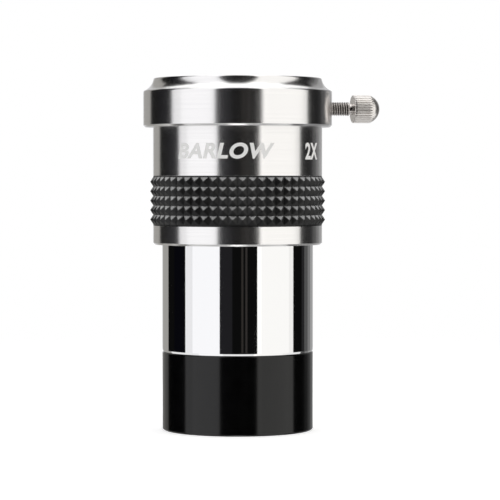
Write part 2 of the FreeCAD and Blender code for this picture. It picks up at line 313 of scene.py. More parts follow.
def lathe_noise(tree, fine, around, detail=4.0):
    """Noise drawn out along turning marks, in cycles per metre across them and around the axis."""
    place = node(tree, "ShaderNodeTexCoord")
    split = node(tree, "ShaderNodeSeparateXYZ")
    tree.links.new(place.outputs["Object"], split.inputs[0])
    flat = node(tree, "ShaderNodeCombineXYZ")
    tree.links.new(split.outputs["X"], flat.inputs["X"])
    tree.links.new(split.outputs["Y"], flat.inputs["Y"])
    radius = node(tree, "ShaderNodeVectorMath", operation="LENGTH")
    tree.links.new(flat.outputs[0], radius.inputs[0])
    across = node(tree, "ShaderNodeMath", operation="ADD")
    tree.links.new(radius.outputs["Value"], across.inputs[0])
    tree.links.new(split.outputs["Z"], across.inputs[1])
    gather = node(tree, "ShaderNodeCombineXYZ")
    tree.links.new(split.outputs["X"], gather.inputs["X"])
    tree.links.new(split.outputs["Y"], gather.inputs["Y"])
    tree.links.new(across.outputs[0], gather.inputs["Z"])
    scale = node(tree, "ShaderNodeVectorMath", operation="MULTIPLY")
    scale.inputs[1].default_value = (around, around, fine)
    tree.links.new(gather.outputs[0], scale.inputs[0])
    pattern = node(tree, "ShaderNodeTexNoise", Detail=detail, Roughness=0.6, Scale=1.0)
    tree.links.new(scale.outputs[0], pattern.inputs["Vector"])
    return pattern.outputs["Fac"]


def spread(tree, factor, low, high, socket):
    """Feed a socket from a noise, between two values."""
    ranged = node(tree, "ShaderNodeMapRange")
    ranged.inputs["From Min"].default_value = NOISE_SPAN[0]
    ranged.inputs["From Max"].default_value = NOISE_SPAN[1]
    ranged.inputs["To Min"].default_value = low
    ranged.inputs["To Max"].default_value = high
    tree.links.new(factor, ranged.inputs["Value"])
    tree.links.new(ranged.outputs["Result"], socket)


def tint(tree, factor, dark, light, socket):
    """Feed a colour socket from a noise, between two colours."""
    ramp = node(tree, "ShaderNodeValToRGB")
    ramp.color_ramp.elements[0].position = 0.3
    ramp.color_ramp.elements[1].position = 0.7
    ramp.color_ramp.elements[0].color = (*dark, 1)
    ramp.color_ramp.elements[1].color = (*light, 1)
    tree.links.new(factor, ramp.inputs["Fac"])
    tree.links.new(ramp.outputs["Color"], socket)


def bump(tree, shader, factor, strength, distance):
    """Roughen a shader's normals by a noise."""
    raised = node(tree, "ShaderNodeBump")
    raised.inputs["Strength"].default_value = strength
    raised.inputs["Distance"].default_value = distance
    tree.links.new(factor, raised.inputs["Height"])
    tree.links.new(raised.outputs["Normal"], shader.inputs["Normal"])


def vertical_gloss(tree, shader):
    """Stretch highlights across circumferential turning marks."""
    tangent = node(tree, "ShaderNodeTangent", direction_type="RADIAL", axis="Z")
    tree.links.new(tangent.outputs["Tangent"], shader.inputs["Tangent"])
    shader.inputs["Anisotropic Rotation"].default_value = 0.25


def turned_metal(name, dark, light, smooth, rough, anisotropic):
    material, tree, shader = new_material(name, light, Metallic=1.0, Anisotropic=anisotropic)
    vertical_gloss(tree, shader)
    lines = lathe_noise(tree, fine=20000, around=25)
    bands = lathe_noise(tree, fine=6000, around=25, detail=3.0)
    tint(tree, bands, dark, light, shader.inputs["Base Color"])
    spread(tree, lines, smooth, rough, shader.inputs["Roughness"])
    bump(tree, shader, lines, 0.05, 0.001 * MM)
    return material


def chrome():
    material, tree, shader = new_material("chrome", (0.9, 0.9, 0.905), Metallic=1.0)
    smudges = noise(tree, (220, 220, 160), detail=5.0)
    spread(tree, smudges, 0.02, 0.065, shader.inputs["Roughness"])
    lines = lathe_noise(tree, fine=5000, around=40)
    bump(tree, shader, lines, 0.05, 0.001 * MM)
    return material


def gloss_black():
    material, tree, shader = new_material("gloss_black", BLACK, IOR=1.5, Specular_IOR_Level=0.42)
    lines = lathe_noise(tree, fine=7000, around=50)
    cloud = noise(tree, (400, 400, 300))
    tint(tree, cloud, (0.0005, 0.0005, 0.0006), (0.0015, 0.0015, 0.0016), shader.inputs["Base Color"])
    spread(tree, lines, 0.1, 0.17, shader.inputs["Roughness"])
    bump(tree, shader, lines, 0.08, 0.002 * MM)
    return material


def matt_black():
    material, tree, shader = new_material("matt_black", (0.01, 0.01, 0.011), IOR=1.45)
    cloud = lathe_noise(tree, fine=2500, around=300)
    tint(tree, cloud, (0.006, 0.006, 0.007), (0.016, 0.016, 0.018), shader.inputs["Base Color"])
    spread(tree, cloud, 0.42, 0.6, shader.inputs["Roughness"])
    bump(tree, shader, cloud, 0.15, 0.01 * MM)
    return material


def rubber():
    material, tree, shader = new_material("moulded_rubber", BLACK, IOR=1.5, Specular_IOR_Level=0.35)
    grain = noise(tree, (9000, 9000, 9000), detail=2.0)
    cloud = noise(tree, (500, 500, 700), detail=3.0)
    tint(tree, cloud, BLACK, (0.0025, 0.0025, 0.0025), shader.inputs["Base Color"])
    spread(tree, cloud, 0.32, 0.42, shader.inputs["Roughness"])
    bump(tree, shader, grain, 0.12, 0.01 * MM)
    return material


def nickel(name, dark, light, smooth, rough):
    material, tree, shader = new_material(name, light, Metallic=1.0)
    cloud = noise(tree, (1500, 1500, 1500), detail=3.0)
    tint(tree, cloud, dark, light, shader.inputs["Base Color"])
    spread(tree, cloud, smooth, rough, shader.inputs["Roughness"])
    return material


def brass():
    material, tree, shader = new_material("turned_brass", (0.78, 0.58, 0.28), Metallic=1.0)
    lines = lathe_noise(tree, fine=6000, around=60)
    tint(tree, lines, (0.66, 0.47, 0.2), (0.82, 0.62, 0.32), shader.inputs["Base Color"])
    spread(tree, lines, 0.2, 0.34, shader.inputs["Roughness"])
    bump(tree, shader, lines, 0.2, 0.004 * MM)
    return material


def coated_glass(name, ior, reflection):
    """Clear glass whose coating gives its reflections a colour."""
    return new_material(
        name, (0.985, 0.995, 0.99), IOR=ior, Roughness=0.0, Transmission_Weight=1.0,
        Specular_Tint=(*reflection, 1))[0]


def etched():
    material, tree, shader = new_material("etched_mark", (0.9, 0.895, 0.88), Roughness=0.6)
    grain = noise(tree, (6000, 6000, 6000), detail=2.0)
    tint(tree, grain, (0.86, 0.855, 0.84), (0.93, 0.925, 0.91), shader.inputs["Base Color"])
    return material


COLLAR_METAL = turned_metal("collar_metal", (0.88, 0.87, 0.87), (0.92, 0.91, 0.905),
                            smooth=0.2, rough=0.24, anisotropic=0.75)
BODY_METAL = turned_metal("body_metal", (0.875, 0.865, 0.86), (0.92, 0.91, 0.905),
                          smooth=0.21, rough=0.25, anisotropic=0.78)
CHROME = chrome()
GLOSS_BLACK = gloss_black()
MATT_BLACK = matt_black()
RUBBER = rubber()
NICKEL = nickel("nickel_plate", (0.87, 0.83, 0.8), (0.95, 0.92, 0.89), smooth=0.28, rough=0.33)
SCREW_STEEL = nickel("screw_steel", (0.6, 0.57, 0.55), (0.74, 0.71, 0.69), smooth=0.1, rough=0.14)
# painted shade: a much darker colour for the roots of the knob's flutes, with a slightly rougher finish
SHADED_FLUTE_ROOT = nickel("painted_shade_flute_root", (0.38, 0.35, 0.34), (0.48, 0.45, 0.44), smooth=0.3, rough=0.4)
# painted shade: a dark colour for the roots of the stud's thread
SHADED_THREAD_ROOT = nickel("painted_shade_thread_root", (0.1, 0.092, 0.085), (0.16, 0.15, 0.14), smooth=0.25, rough=0.35)
BRASS = brass()
ETCHED = etched()
FLINT = coated_glass("flint_glass", ior=1.62, reflection=(0.45, 0.95, 0.7))
CROWN = coated_glass("crown_glass", ior=1.52, reflection=(0.6, 0.55, 1.0))


def finish_piece(piece, body, slot, *nodes):
    """Put a piece on its body, in place of its CAD nodes. Its slot argument is not used."""
    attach(piece, body)
    if nodes:
        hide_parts(*nodes)


# ---------------------------------------------------------------- collar and clamp

COVE_HEIGHT = 2.5 * MM
COVE_WIDTH = 2.15 * MM
CORNER_ROUND = 0.45 * MM
COVE_SAG = 0.33 * MM
RIM_BEVEL = 0.15 * MM
FOOT_BEVEL = 0.42 * MM
LEAD_IN = 0.3 * MM                  # bevel at a spigot's free end
SPIGOT_STEP = 2.85 * MM             # collar's outside to its threaded spigot
SPOT_FACE_R = 3.05 * MM
SPOT_FACE_DEPTH = 0.45 * MM
HOLE_R = 1.53 * MM
GROOVE_PLAY = 0.3 * MM
GROOVE_GAP = 0.05 * MM


def sagging(start, end, sag, count):
    """Points of a shallow arc from start to end that dips towards the axis and down."""
    start, end = Vector(start), Vector(end)
    along = end - start
    dip = Vector((-abs(along.y), -abs(along.x))).normalized() * sag
    return [start + along * t + dip * 4 * t * (1 - t) for t in (k / count for k in range(count + 1))]


def rod_along_screw(name, radius, near, far, segments):
    """Plain rod on the screw's axis, to cut with."""
    outline = [(0, near), (radius, near), (radius, far), (0, far)]
    return along_screw(turned(name, outline, COLLAR_METAL, segments=segments))


def build_collar():
    """Collar with a coved rim, the eyepiece's socket, the ring's groove and the screw's hole."""
    shoulder = rim_top - COVE_HEIGHT
    rim_r = collar_r - COVE_WIDTH
    cove_start = (collar_r - CORNER_ROUND, shoulder)
    cove_end = (rim_r, rim_top - RIM_BEVEL)
    spigot_r = collar_r - SPIGOT_STEP
    groove_r = ring_r + GROOVE_PLAY
    outside = rounded([
        (socket_r, spigot_low, FINE),
        (spigot_r - LEAD_IN, spigot_low, FINE),
        (spigot_r, spigot_low + LEAD_IN, FINE),
        (spigot_r, body_top, 0),
        (collar_r - FOOT_BEVEL, body_top, FINE),
        (collar_r, body_top + FOOT_BEVEL, SOFT),
        (collar_r, shoulder - CORNER_ROUND * 1.5, 0),
    ], run=0.6 * MM)[:-1]
    turn_over = [
        (collar_r - CORNER_ROUND * (1 - math.cos(t)), shoulder - CORNER_ROUND * (1 - math.sin(t)))
        for t in (math.pi / 2 * k / 6 for k in range(6))
    ]
    cove = [(p.x, p.y) for p in sagging(cove_start, cove_end, COVE_SAG, 14)]
    inside = rounded([
        (rim_r, rim_top - RIM_BEVEL, 0),
        (rim_r - 0.12 * MM, rim_top, FINE),
        (socket_r + 0.6 * MM, rim_top, SOFT),
        (socket_r, rim_top - 0.6 * MM, SOFT),
        (socket_r, ring_top + GROOVE_GAP, KEEN),
        (groove_r, ring_top + GROOVE_GAP, SOFT),
        (groove_r, ring_low - GROOVE_GAP, SOFT),
        (socket_r, ring_low - GROOVE_GAP, KEEN),
        (socket_r, spigot_low + 0.6 * MM, 0),
    ])[1:]
    piece = turned("eyepiece_collar_turned", outside + turn_over + cove + inside, COLLAR_METAL)
    hole = rod_along_screw("hole_cutter", HOLE_R, groove_r - MM, collar_r + MM, 64)
    face_reach = collar_r - SPOT_FACE_DEPTH
    spot_face = rod_along_screw("spot_face_cutter", SPOT_FACE_R, face_reach, collar_r + MM, 96)
    carve(piece, hole, spot_face)
    finish_piece(piece, "housing", "collar_metal", "eyepiece_collar")


RING_SPLIT = 2.4 * MM
RING_PLAY = 0.075 * MM
RING_MOUTH = 0.22 * MM              # rounding of the ring's inner edges


def build_compression_ring():
    """Brass ring, split on the side away from the screw."""
    inner_r = socket_r + RING_PLAY
    half_gap = RING_SPLIT / 2 / inner_r
    split_at = math.atan2(screw_axis.y, screw_axis.x) + math.pi
    outline = rounded([
        (inner_r, ring_low, RING_MOUTH),
        (ring_r, ring_low, ROUND),
        (ring_r, ring_top, ROUND),
        (inner_r, ring_top, RING_MOUTH),
    ])
    piece = turned("compression_ring_turned", outline, BRASS, segments=240,
                   sweep=TURN - 2 * half_gap, start=split_at + half_gap)
    finish_piece(piece, "clamp_ring", "ring_brass", "compression_ring")


# ---------------------------------------------------------------- thumbscrew

FLUTES = 32
FLUTE_DEPTH = 0.24 * MM
FLUTE_HALF = 0.2                    # half of a groove's width, as a share of the pitch
KNOB_R = 2.95 * MM
KNOB_DOME = 2.0 * MM
KNOB_SHARP_ANGLE = 50
BORE_R = 1.23 * MM
BORE_END = 3.7 * MM
STUD_R = 1.48 * MM
STUD_THREAD_DEPTH = 0.3 * MM
ROOT_SHARE = 0.5                    # share of a thread's or flute's depth below which painted shade darkens it
NECK_R = 1.15 * MM
NECK_LENGTH = 0.8 * MM


def flute(angle, z):
    """Rounded V groove of the knob's grip, taken off the radius."""
    off = abs((angle / TURN * FLUTES) % 1 - 0.5)
    return -FLUTE_DEPTH * (0.5 + 0.5 * math.cos(math.pi * min(1, off / FLUTE_HALF))) ** 0.8


def knob_outline():
    """Outline of the knob: inner face, fluted wall, dome and the blind bore for the stud."""
    shoulder = knob_far - KNOB_DOME
    base_r = KNOB_R - 0.1 * MM
    dome_r = (base_r ** 2 + KNOB_DOME ** 2) / (2 * KNOB_DOME)
    widest = math.asin(base_r / dome_r)
    wall = [(KNOB_R, knob_near + 0.2 * MM + (shoulder - knob_near - 0.35 * MM) * k / 8, 1) for k in range(9)]
    outline = [
        (BORE_R, knob_near, 0),
        (BORE_R + 0.1 * MM, knob_near, 0),
        (KNOB_R - 0.5 * MM, knob_near, 0),
        (KNOB_R - 0.27 * MM, knob_near, 0.15),
        (KNOB_R - 0.17 * MM, knob_near + 0.03 * MM, 0.6),
        (KNOB_R - 0.06 * MM, knob_near + 0.1 * MM, 1),
    ]
    outline += wall
    outline += [(KNOB_R - 0.02 * MM, shoulder - 0.07 * MM, 0.8), (base_r + 0.02 * MM, shoulder, 0.45)]
    for k in range(1, 15):
        t = widest * (1 - k / 14)
        outline.append((dome_r * math.sin(t), knob_far - dome_r * (1 - math.cos(t)), 0.2 if k == 1 else 0))
    return outline + [(0, knob_near + BORE_END), (BORE_R, knob_near + BORE_END)]


def darken_roots(piece, limit_r, low, high, material):
    """Paint shade into the faces of a piece about Z within a radius and between two heights, with a darker
    material.
    """
    piece.data.materials.append(material)
    for face in piece.data.polygons:
        if math.hypot(face.center.x, face.center.y) < limit_r and low < face.center.z < high:
            face.material_index = 1


def build_knob():
    """Fluted knob with a domed end."""
    knob = turned("thumbscrew_knob_fluted", knob_outline(), NICKEL, segments=FLUTES * 12, relief=flute,
                  sharp=KNOB_SHARP_ANGLE)
    root_r = KNOB_R - ROOT_SHARE * FLUTE_DEPTH
    # painted shade in the roots of the flutes
    darken_roots(knob, root_r, knob_near + 0.15 * MM, knob_far - KNOB_DOME, SHADED_FLUTE_ROOT)
    finish_piece(along_screw(knob), "screw_knob", "knob_steel", "thumbscrew_knob")


def build_stud():
    """Threaded stud with a turned neck. It rides with the knob, so that its helix turns."""
    lead = pitch("screw_turn")
    thread_end = knob_near - NECK_LENGTH
    outline = [(0, stud_near), (STUD_R - 0.5 * MM, stud_near), (STUD_R - 0.3 * MM, stud_near + 0.2 * MM)]
    outline += thread_rows(STUD_R, stud_near + 0.35 * MM, thread_end - 0.1 * MM, lead, per_pitch=24)
    outline += [
        (STUD_R - 0.02 * MM, thread_end - 0.05 * MM),
        (NECK_R, thread_end + 0.12 * MM),
        (NECK_R, thread_end + 0.2 * MM),
        (NECK_R, knob_near - 0.02 * MM),
        (NECK_R + 0.04 * MM, knob_near),
        (NECK_R + 0.05 * MM, stud_far),
        (0, stud_far),
    ]
    stud = turned("thumbscrew_stud_threaded", outline, SCREW_STEEL, segments=96,
                  relief=helix(lead, STUD_THREAD_DEPTH))
    # painted shade in the roots of the thread
    darken_roots(stud, STUD_R - ROOT_SHARE * STUD_THREAD_DEPTH, stud_near, thread_end - 0.1 * MM, SHADED_THREAD_ROOT)
    finish_piece(along_screw(stud), "screw_knob", "screw_steel", "thumbscrew_stud")


# ---------------------------------------------------------------- body and grip

GRIP_DEPTH = 0.8 * MM
SOCKET_FLOOR = 1.5 * MM             # thickness of the stop below the eyepiece
STOP_R = 13.6 * MM
THREAD_GAP = 0.05 * MM
BARREL_SPIGOT_STEP = 0.9 * MM
BODY_BEVEL = 0.4 * MM
GRIP_ROWS = 5
GRIP_COLUMNS = 56
GRIP_BORDER = 0.25 * MM
PYRAMID_CELLS = 14                  # mesh cells along a pyramid's side
PYRAMID_BLUNT = 0.05                # rounding of the ridges, as a share of half a pyramid
PYRAMID_SCALE = 1.02                # makes up for most of the height that the rounding takes


def build_body():
    """Sleeve with bores for both spigots, the eyepiece's stop and a seat for the grip."""
    seat_r = body_r - GRIP_DEPTH
    collar_bore = collar_r - SPIGOT_STEP + THREAD_GAP
    barrel_bore = barrel_r - BARREL_SPIGOT_STEP + THREAD_GAP
    outline = rounded([
        (barrel_bore, body_low, CRISP),
        (body_r - BODY_BEVEL, body_low, FINE),
        (body_r, body_low + BODY_BEVEL, SOFT),
        (body_r, grip_low, KEEN),
        (seat_r, grip_low, KEEN),
        (seat_r, grip_top, KEEN),
        (body_r, grip_top, KEEN),
        (body_r, body_top, CRISP),
        (collar_bore, body_top, CRISP),
        (collar_bore, spigot_low, CRISP),
        (socket_r, spigot_low, CRISP),
        (socket_r, barrel_top + SOCKET_FLOOR, FINE),
        (STOP_R, barrel_top + SOCKET_FLOOR, ROUND),
        (STOP_R, barrel_top, CRISP),
        (barrel_bore, barrel_top, CRISP),
    ], steps=4)
    piece = turned("main_body_turned", outline, BODY_METAL)
    finish_piece(piece, "housing", "body_metal", "main_body")


def pyramid(angle, z):
    """Height of the grip's four-sided pyramids, 0 along the valleys, with slightly blunted ridges."""
    row_height = (grip_top - grip_low - 2 * GRIP_BORDER) / GRIP_ROWS
    u = abs(2 * ((angle / TURN * GRIP_COLUMNS) % 1) - 1)
    v = abs(2 * (((z - grip_low - GRIP_BORDER) / row_height) % 1) - 1)
    farthest = (u + v + math.sqrt((u - v) ** 2 + PYRAMID_BLUNT ** 2)) / 2
    return (grip_r - body_r) * max(0, 1 - farthest) * PYRAMID_SCALE


def build_grip():
    """Rubber band with rows of pyramids between plain borders."""
    seat_r = body_r - GRIP_DEPTH
    rows = GRIP_ROWS * PYRAMID_CELLS
    low, high = grip_low + GRIP_BORDER, grip_top - GRIP_BORDER
    outline = [(seat_r, grip_low), (body_r - 0.1 * MM, grip_low), (body_r, grip_low + 0.08 * MM)]
    outline += [(body_r, low + (high - low) * n / rows, 1) for n in range(rows + 1)]
    outline += [(body_r, grip_top - 0.08 * MM), (body_r - 0.1 * MM, grip_top), (seat_r, grip_top)]
    piece = turned("rubber_grip_moulded", outline, RUBBER, segments=GRIP_COLUMNS * PYRAMID_CELLS,
                   relief=pyramid)
    finish_piece(piece, "housing", "grip_rubber", "rubber_grip")


# ---------------------------------------------------------------- etched marks on the body

MARK_HEIGHT = 3.2 * MM
MARK_LIFT = 0.012 * MM
MARK_WEIGHT = 0.16 * MM             # added all round each letter's strokes
MARK_SPACING = 1.08
CAPITAL_SHARE = 0.7                 # height of a capital, as a share of the font's size
LONGEST_EDGE = 0.35 * MM            # so that the letters bend round the body
FRONT = -TURN / 4                   # angle from +X of the side that faces the camera
mark_z = body_top - 5.1 * MM


def flat_letters(name, words, size, slant):
    """Mesh of the words, laid flat and cut up finely enough to bend."""
    text = bpy.data.curves.new(name, "FONT")
    text.body = words
    text.size = size / CAPITAL_SHARE
    text.space_character = MARK_SPACING
    text.shear = slant
    text.offset = MARK_WEIGHT
    text.resolution_u = 6
    letters = bpy.data.objects.new(name, text)
    bpy.context.scene.collection.objects.link(letters)
    flat = bpy.data.meshes.new_from_object(letters.evaluated_get(bpy.context.evaluated_depsgraph_get()))
    bpy.data.objects.remove(letters)
    mesh = bmesh.new()
    mesh.from_mesh(flat)
    bmesh.ops.triangulate(mesh, faces=mesh.faces)
    for _ in range(3):
        long_edges = [e for e in mesh.edges if e.calc_length() > LONGEST_EDGE]
        bmesh.ops.subdivide_edges(mesh, edges=long_edges, cuts=1)
        bmesh.ops.triangulate(mesh, faces=mesh.faces)
    return mesh


def build_mark(name, words, angle, size, stretch, slant):
    """Thin letters wrapped round the body, centred at an angle from +X."""
    mesh = flat_letters(name, words, size, slant)
    xs = [v.co.x for v in mesh.verts]
    ys = [v.co.y for v in mesh.verts]
    middle_x = (min(xs) + max(xs)) / 2
    middle_y = (min(ys) + max(ys)) / 2
    front = list(mesh.faces)
    bmesh.ops.extrude_face_region(mesh, geom=front)
    for v in mesh.verts:
        v.co.z = 0
    for face in front:
        for v in face.verts:
            v.co.z = MARK_LIFT
    for v in mesh.verts:
        a = angle + (v.co.x - middle_x) * stretch / body_r
        r = body_r - MARK_LIFT / 2 + v.co.z
        v.co = Vector((r * math.cos(a), r * math.sin(a), mark_z + v.co.y - middle_y))
    finish_piece(mesh_object(name, mesh, ETCHED), "housing", "body_metal")


# ---------------------------------------------------------------- barrel and baffle

CELL_BORE_R = 14.3 * MM
MOUTH_BEVEL = 0.3 * MM
FOOT_STEP_IN = 0.17 * MM            # the barrel's lower edge is a steep bevel
FOOT_STEP_UP = 0.42 * MM
BAFFLE_PITCH = 1.0 * MM
BAFFLE_DEPTH = 0.4 * MM
BAFFLE_MARGIN = 0.5 * MM            # plain stretch at each end
SLEEVE_WALL = 0.7 * MM


def build_barrel():
    """Barrel with a spigot for the body, a seat for the baffle and a bore for the cell's neck."""
    spigot_r = barrel_r - BARREL_SPIGOT_STEP
    outline = rounded([
        (CELL_BORE_R + MOUTH_BEVEL, barrel_low, KEEN),
        (barrel_r - FOOT_STEP_IN, barrel_low, CRISP),
        (barrel_r, barrel_low + FOOT_STEP_UP, SOFT),
        (barrel_r, body_low, CRISP),
        (spigot_r, body_low, CRISP),
        (spigot_r, barrel_top - LEAD_IN, FINE),
        (spigot_r - LEAD_IN, barrel_top, FINE),
        (sleeve_r, barrel_top, FINE),
        (sleeve_r, sleeve_low, FINE),
        (CELL_BORE_R, sleeve_low, FINE),
        (CELL_BORE_R, barrel_low + MOUTH_BEVEL, FINE),
    ])
    piece = turned("nose_barrel_turned", outline, CHROME)
    finish_piece(piece, "housing", "barrel_chrome", "nose_barrel")


def build_baffle():
    """Sleeve with ring-shaped grooves that stop glare."""
    inner_r = sleeve_r - SLEEVE_WALL
    low = sleeve_low + BAFFLE_MARGIN
    count = int((sleeve_top - BAFFLE_MARGIN - low) / BAFFLE_PITCH)
    outline = [(inner_r, sleeve_low), (sleeve_r, sleeve_low), (sleeve_r, sleeve_top), (inner_r, sleeve_top)]
    for n in reversed(range(count)):
        z = low + n * BAFFLE_PITCH
        outline += [
            (inner_r, z + BAFFLE_PITCH * 0.98), (inner_r, z + BAFFLE_PITCH * 0.9),
            (inner_r + BAFFLE_DEPTH, z + BAFFLE_PITCH * 0.5), (inner_r, z + BAFFLE_PITCH * 0.1)]
    piece = turned("baffle_sleeve_ribbed", outline, MATT_BLACK, segments=192)
    finish_piece(piece, "housing", "baffle_black", "baffle_sleeve")


# ---------------------------------------------------------------- lens cell

CELL_GAP = 0.05 * MM
CELL_BEVEL = 0.3 * MM
SHOULDER_BEVEL = 0.15 * MM
UNDERCUT = 0.3 * MM                 # plain stretch between the shoulder and the neck's thread
CLEAR_R = 11.8 * MM
THREAD_DEPTH = 0.325 * MM
FILTER_LENGTH = 3.6 * MM
RETAINER_THREAD_R = 13.5 * MM
FRONT_RADIUS = 60 * MM
CEMENT_RADIUS = 26 * MM
REAR_RADIUS = 55 * MM
FLINT_THICKNESS = 4.0 * MM
CROWN_THICKNESS = 1.8 * MM
CEMENT_GAP = 0.004 * MM


def build_cell():
    """Cell with a thread on its neck, a pocket for the doublet and a filter thread in its mouth."""
    lead = pitch("cell_turn")
    shoulder = barrel_low - CELL_GAP
    crest_r = filter_r + THREAD_DEPTH
    pocket_r = lens_r + 0.05 * MM
    outside = rounded([
        (filter_r + 0.4 * MM, cell_low, FINE),
        (barrel_r - CELL_BEVEL, cell_low, 0.06 * MM),
        (barrel_r, cell_low + CELL_BEVEL, ROUND),
        (barrel_r, shoulder - SHOULDER_BEVEL, FINE),
        (barrel_r - SHOULDER_BEVEL, shoulder, FINE),
        (filter_r, shoulder, FINE),
        (filter_r, shoulder + UNDERCUT, 0),
    ])[:-1]
    neck = thread_rows(crest_r, shoulder + UNDERCUT, cell_top - 0.2 * MM, lead)
    inside = rounded([
        (filter_r - 0.2 * MM, cell_top, FINE),
        (CLEAR_R + MM, cell_top, ROUND),
        (CLEAR_R, crown_top + 1.2 * MM, ROUND),
        (CLEAR_R, crown_top, CRISP),
        (pocket_r, crown_top, CRISP),
        (pocket_r, retainer_top + 0.02 * MM, CRISP),
        (RETAINER_THREAD_R, retainer_top + 0.02 * MM, CRISP),
        (RETAINER_THREAD_R, cell_low + FILTER_LENGTH, FINE),
    ])
    mouth = thread_rows(filter_r, cell_low + FILTER_LENGTH, cell_low + 0.4 * MM, lead, weight=-1.0)
    piece = turned("lens_cell_turned", outside + neck + inside + mouth, GLOSS_BLACK, segments=256,
                   relief=helix(lead, THREAD_DEPTH * 0.97))
    finish_piece(piece, "cell", "cell_black", "lens_cell")


def drop(radius, r):
    """How far a spherical surface falls away from its vertex at distance r."""
    return radius - math.sqrt(radius * radius - r * r)


def surface(vertex, radius, sign, count=24):
    """Outline of a spherical surface from the axis to the lens's edge."""
    return [(lens_r * k / count, vertex + sign * drop(radius, lens_r * k / count)) for k in range(count + 1)]


def build_doublet():
    """Flint and crown elements, with a hair's gap between them where the cement is."""
    front = flint_low + drop(FRONT_RADIUS, lens_r)
    cement = front + FLINT_THICKNESS
    rear = cement + CROWN_THICKNESS
    flint = surface(front, FRONT_RADIUS, -1) + surface(cement, CEMENT_RADIUS, -1)[::-1]
    crown = surface(cement + CEMENT_GAP, CEMENT_RADIUS, -1) + surface(rear, REAR_RADIUS, 1)[::-1]
    finish_piece(turned("flint_element_polished", flint, FLINT, segments=128),
                 "lens_group", "flint_glass", "flint_element")
    finish_piece(turned("crown_element_polished", crown, CROWN, segments=128),
                 "lens_group", "crown_glass", "crown_element")


def build_retaining_ring():
    """Ring that holds the doublet, with a spanner slot on either side."""
    outer_r = RETAINER_THREAD_R - 0.05 * MM
    outline = rounded([
        (CLEAR_R + 0.8 * MM, retainer_low, FINE),
        (outer_r, retainer_low, 0.12 * MM),
        (outer_r, retainer_top, KEEN),
        (CLEAR_R, retainer_top, KEEN),
        (CLEAR_R, retainer_low + 0.8 * MM, FINE),
    ], run=0.5 * MM)
    piece = turned("lens_retaining_ring_turned", outline, MATT_BLACK, segments=192)
    slot = bmesh.new()
    bmesh.ops.create_cube(slot, size=1)
    cutter = mesh_object("slot_cutter", slot, MATT_BLACK)
    cutter.data.transform(Matrix.Translation((0, 0, retainer_low + 0.4 * MM))
                          @ Matrix.Diagonal((2 * outer_r + 2 * MM, 1.6 * MM, 1.2 * MM, 1)))
    carve(piece, cutter)
    finish_piece(piece, "cell", "retainer_black", "lens_retaining_ring")


build_collar()
build_compression_ring()
build_knob()
build_stud()
build_body()
build_grip()
build_mark("etched_word", "BARLOW", FRONT - math.radians(9), 0.92 * MARK_HEIGHT, stretch=1.1, slant=0.22)
build_mark("etched_power", "2X", FRONT + math.radians(60), MARK_HEIGHT, stretch=0.85, slant=0.0)
build_barrel()
build_baffle()
build_cell()
build_doublet()
build_retaining_ring()


# ---------------------------------------------------------------- studio

STUDIO_R = 0.75                     # distance of the light panels from the object
STUDIO_CENTRE = Vector((0, 0, 0.04))
PANEL_STEP = 5                      # degrees of azimuth in a panel's mesh
PANEL_ROWS = 10
NEUTRAL = (1.0, 1.0, 1.0)
COOL = (0.985, 0.985, 1.0)
WARM = (1.0, 0.99, 0.965)
CREAM = (1.0, 0.98, 0.93)

# elevations at which panels begin and end, in degrees
BELOW = -84
LOW = -53
FRONT_LOW = -43
SIDE_LOW = -18
BACK_HIGH = 35
STREAK_HIGH = 60
HIGH = 78

# azimuth and elevation in degrees, and radiance, of each softbox over the grip
GRIP_ARCH_R = 0.7
GRIP_ARCH = ((0, 72, 9), (60, 62, 8), (-60, 62, 8), (100, 48, 6), (-100, 48, 6), (130, 32, 4), (-130, 32, 4))

ROOM_R = 3.0
FLOOR_R = 0.4
FLOOR_GREY = 0.86
FLOOR_LIFT = 0.6                    # light of the floor's own, which stands in for the room's
FLOOR_DROP = 0.00002
FADE_START = 0.05
FADE_END = 0.3
WORLD_GREY = 0.004

CAMERA_PLACE = Vector((0, -0.507, 0.05314))
CAMERA_TARGET = Vector((0.0026, 0, 0.03774))
FOCAL_MM = 173.5
SENSOR_MM = 36.0


def unlit_material(name, colour, radiance):
    """Material that only shines, evenly."""
    material = bpy.data.materials.new(name)
    material.use_nodes = True
    tree = material.node_tree
    tree.nodes.remove(tree.nodes["Principled BSDF"])
    glow = node(tree, "ShaderNodeEmission")
    glow.inputs["Color"].default_value = (*colour, 1)
    glow.inputs["Strength"].default_value = radiance
    tree.links.new(glow.outputs[0], tree.nodes["Material Output"].inputs["Surface"])
    return material


def toward(azimuth, elevation):
    """Direction at an azimuth from the camera's side, -Y, towards +X, and an elevation, in degrees."""
    a, e = math.radians(azimuth), math.radians(elevation)
    return Vector((math.sin(a) * math.cos(e), -math.cos(a) * math.cos(e), math.sin(e)))


def light_panel(name, azimuths, elevations, radiance, colour=NEUTRAL):
    """Curved diffuser lit from behind, between two azimuths and two elevations."""
    mesh = bmesh.new()
    columns = max(4, round((azimuths[1] - azimuths[0]) / PANEL_STEP))
    grid = []
    for i in range(columns + 1):
        azimuth = azimuths[0] + (azimuths[1] - azimuths[0]) * i / columns
        grid.append([])
        for k in range(PANEL_ROWS + 1):
            elevation = elevations[0] + (elevations[1] - elevations[0]) * k / PANEL_ROWS
            grid[i].append(mesh.verts.new(STUDIO_CENTRE + toward(azimuth, elevation) * STUDIO_R))
    for left, right in zip(grid, grid[1:]):
        for k in range(PANEL_ROWS):
            mesh.faces.new((left[k], right[k], right[k + 1], left[k + 1]))
    panel = mesh_object(name, mesh, unlit_material(name, colour, radiance))
    panel.visible_camera = False
    panel.visible_shadow = False


